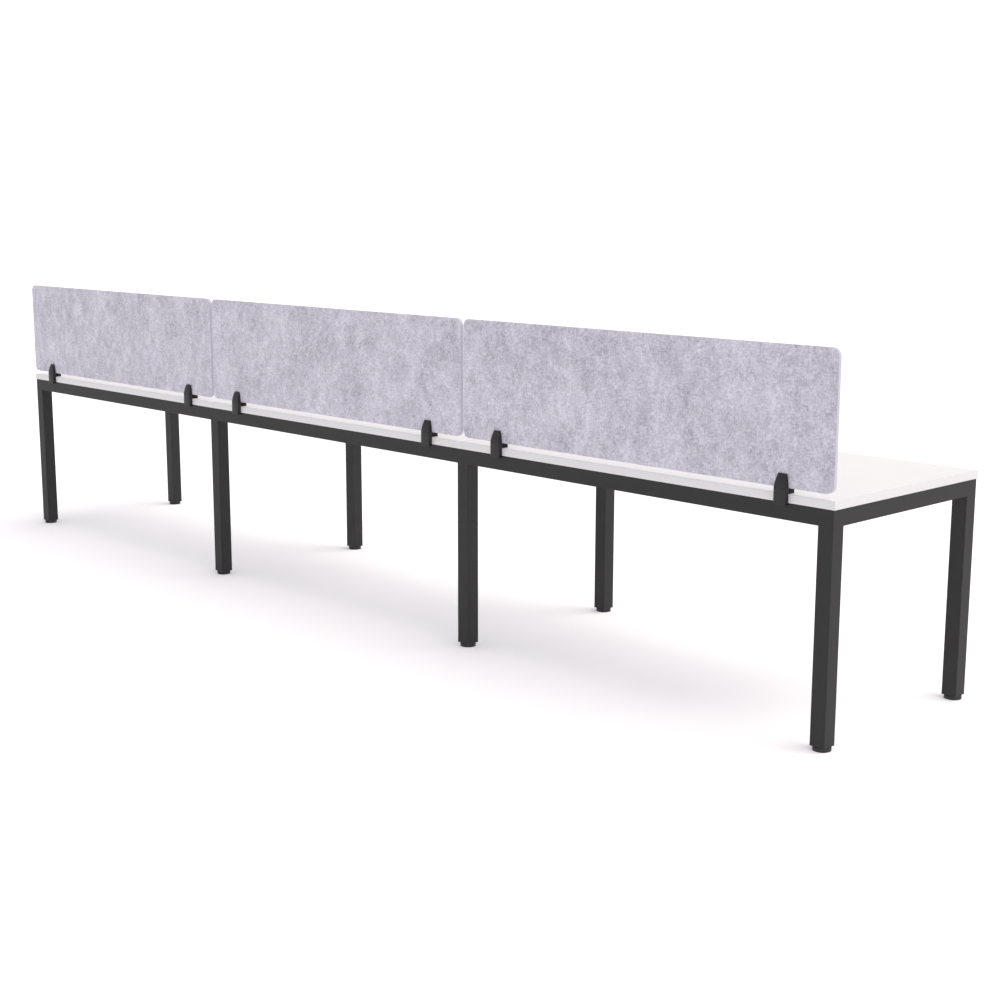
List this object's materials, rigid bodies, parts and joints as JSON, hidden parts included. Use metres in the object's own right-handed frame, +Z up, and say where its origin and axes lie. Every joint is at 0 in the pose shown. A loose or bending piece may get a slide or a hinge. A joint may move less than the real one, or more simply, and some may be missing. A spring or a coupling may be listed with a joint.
{
  "type": "study bench",
  "caption": "Straight study bench: steel frame on levelling feet, white worktops end to end, and a felt screen clamped along the back edge of each place.",
  "frame": {"origin": "on the floor, under the middle of the whole bench with its screen brackets", "axes": "+X along the bench, +Y towards the readers, +Z up"},
  "size_m": [4.499, 0.766, 1.137],
  "materials": {
    "black_powder_coat": "fine matt powder coat",
    "white_melamine": "satin melamine facing on chipboard",
    "white_edging": "satin edging strip",
    "pressed_felt": "needled polyester felt board, marled lavender grey",
    "bracket_black": "matt black coating on die-cast metal",
    "pad_rubber": "matt rubber",
    "knob_black": "moulded, fluted",
    "foot_black": "moulded",
    "plug_black": "moulded",
    "fixing_black": "matt powder coat",
    "zinc_steel": "bright zinc plate"
  },
  "bodies": {
    "bench": {"leg_back_1": "black_powder_coat", "leg_back_2": "black_powder_coat", "leg_back_3": "black_powder_coat", "leg_back_4": "black_powder_coat", "leg_front_1": "black_powder_coat", "leg_front_2": "black_powder_coat", "leg_front_3": "black_powder_coat", "leg_front_4": "black_powder_coat", "rail_back_1": "black_powder_coat", "rail_back_2": "black_powder_coat", "rail_back_3": "black_powder_coat", "rail_front_1": "black_powder_coat", "rail_front_2": "black_powder_coat", "rail_front_3": "black_powder_coat", "cross_rail_1": "black_powder_coat", "cross_rail_2": "black_powder_coat", "cross_rail_3": "black_powder_coat", "cross_rail_4": "black_powder_coat", "worktop_1": "white_melamine", "worktop_2": "white_melamine", "worktop_3": "white_melamine", "edging_1": "white_edging", "edging_2": "white_edging", "edging_3": "white_edging", "screen_1": "pressed_felt", "screen_2": "pressed_felt", "screen_3": "pressed_felt", "screen_bracket_1": "bracket_black", "screen_bracket_2": "bracket_black", "screen_bracket_3": "bracket_black", "screen_bracket_4": "bracket_black", "screen_bracket_5": "bracket_black", "screen_bracket_6": "bracket_black", "leg_plugs": "plug_black", "corner_brackets": "fixing_black", "corner_bolts": "zinc_steel", "top_plates": "zinc_steel", "top_plate_screws": "zinc_steel", "saddle_screws": "zinc_steel"},
    "foot_back_1": {"levelling_foot_back_1": "foot_black"},
    "foot_back_2": {"levelling_foot_back_2": "foot_black"},
    "foot_back_3": {"levelling_foot_back_3": "foot_black"},
    "foot_back_4": {"levelling_foot_back_4": "foot_black"},
    "foot_front_1": {"levelling_foot_front_1": "foot_black"},
    "foot_front_2": {"levelling_foot_front_2": "foot_black"},
    "foot_front_3": {"levelling_foot_front_3": "foot_black"},
    "foot_front_4": {"levelling_foot_front_4": "foot_black"},
    "pad_1": {"clamp_pad_1": "pad_rubber"},
    "screw_1": {"clamp_screw_1": "knob_black"},
    "pad_2": {"clamp_pad_2": "pad_rubber"},
    "screw_2": {"clamp_screw_2": "knob_black"},
    "pad_3": {"clamp_pad_3": "pad_rubber"},
    "screw_3": {"clamp_screw_3": "knob_black"},
    "pad_4": {"clamp_pad_4": "pad_rubber"},
    "screw_4": {"clamp_screw_4": "knob_black"},
    "pad_5": {"clamp_pad_5": "pad_rubber"},
    "screw_5": {"clamp_screw_5": "knob_black"},
    "pad_6": {"clamp_pad_6": "pad_rubber"},
    "screw_6": {"clamp_screw_6": "knob_black"}
  },
  "joints": [
    {"name": "foot_back_1_slide", "type": "slide", "parent": "bench", "child": "foot_back_1", "axis": [0, 0, -1], "range_m": [0, 0.015]},
    {"name": "foot_back_2_slide", "type": "slide", "parent": "bench", "child": "foot_back_2", "axis": [0, 0, -1], "range_m": [0, 0.015]},
    {"name": "foot_back_3_slide", "type": "slide", "parent": "bench", "child": "foot_back_3", "axis": [0, 0, -1], "range_m": [0, 0.015]},
    {"name": "foot_back_4_slide", "type": "slide", "parent": "bench", "child": "foot_back_4", "axis": [0, 0, -1], "range_m": [0, 0.015]},
    {"name": "foot_front_1_slide", "type": "slide", "parent": "bench", "child": "foot_front_1", "axis": [0, 0, -1], "range_m": [0, 0.015]},
    {"name": "foot_front_2_slide", "type": "slide", "parent": "bench", "child": "foot_front_2", "axis": [0, 0, -1], "range_m": [0, 0.015]},
    {"name": "foot_front_3_slide", "type": "slide", "parent": "bench", "child": "foot_front_3", "axis": [0, 0, -1], "range_m": [0, 0.015]},
    {"name": "foot_front_4_slide", "type": "slide", "parent": "bench", "child": "foot_front_4", "axis": [0, 0, -1], "range_m": [0, 0.015]},
    {"name": "clamp_pad_1_slide", "type": "slide", "parent": "bench", "child": "pad_1", "axis": [0, 1, 0], "range_m": [0, 0.002]},
    {"name": "clamp_screw_1_turn", "type": "hinge", "parent": "pad_1", "child": "screw_1", "pos_m": [-2.075, -0.356, 0.752], "axis": [0, 1, 0], "range_deg": [0, 720]},
    {"name": "clamp_pad_2_slide", "type": "slide", "parent": "bench", "child": "pad_2", "axis": [0, 1, 0], "range_m": [0, 0.002]},
    {"name": "clamp_screw_2_turn", "type": "hinge", "parent": "pad_2", "child": "screw_2", "pos_m": [-0.925, -0.356, 0.752], "axis": [0, 1, 0], "range_deg": [0, 720]},
    {"name": "clamp_pad_3_slide", "type": "slide", "parent": "bench", "child": "pad_3", "axis": [0, 1, 0], "range_m": [0, 0.002]},
    {"name": "clamp_screw_3_turn", "type": "hinge", "parent": "pad_3", "child": "screw_3", "pos_m": [-0.575, -0.356, 0.752], "axis": [0, 1, 0], "range_deg": [0, 720]},
    {"name": "clamp_pad_4_slide", "type": "slide", "parent": "bench", "child": "pad_4", "axis": [0, 1, 0], "range_m": [0, 0.002]},
    {"name": "clamp_screw_4_turn", "type": "hinge", "parent": "pad_4", "child": "screw_4", "pos_m": [0.575, -0.356, 0.752], "axis": [0, 1, 0], "range_deg": [0, 720]},
    {"name": "clamp_pad_5_slide", "type": "slide", "parent": "bench", "child": "pad_5", "axis": [0, 1, 0], "range_m": [0, 0.002]},
    {"name": "clamp_screw_5_turn", "type": "hinge", "parent": "pad_5", "child": "screw_5", "pos_m": [0.925, -0.356, 0.752], "axis": [0, 1, 0], "range_deg": [0, 720]},
    {"name": "clamp_pad_6_slide", "type": "slide", "parent": "bench", "child": "pad_6", "axis": [0, 1, 0], "range_m": [0, 0.002]},
    {"name": "clamp_screw_6_turn", "type": "hinge", "parent": "pad_6", "child": "screw_6", "pos_m": [2.075, -0.356, 0.752], "axis": [0, 1, 0], "range_deg": [0, 720]}
  ],
  "couplings": [
    {"joint": "clamp_pad_1_slide", "follows": "clamp_screw_1_turn", "m_per_rad": 0.00015915},
    {"joint": "clamp_pad_2_slide", "follows": "clamp_screw_2_turn", "m_per_rad": 0.00015915},
    {"joint": "clamp_pad_3_slide", "follows": "clamp_screw_3_turn", "m_per_rad": 0.00015915},
    {"joint": "clamp_pad_4_slide", "follows": "clamp_screw_4_turn", "m_per_rad": 0.00015915},
    {"joint": "clamp_pad_5_slide", "follows": "clamp_screw_5_turn", "m_per_rad": 0.00015915},
    {"joint": "clamp_pad_6_slide", "follows": "clamp_screw_6_turn", "m_per_rad": 0.00015915}
  ]
}
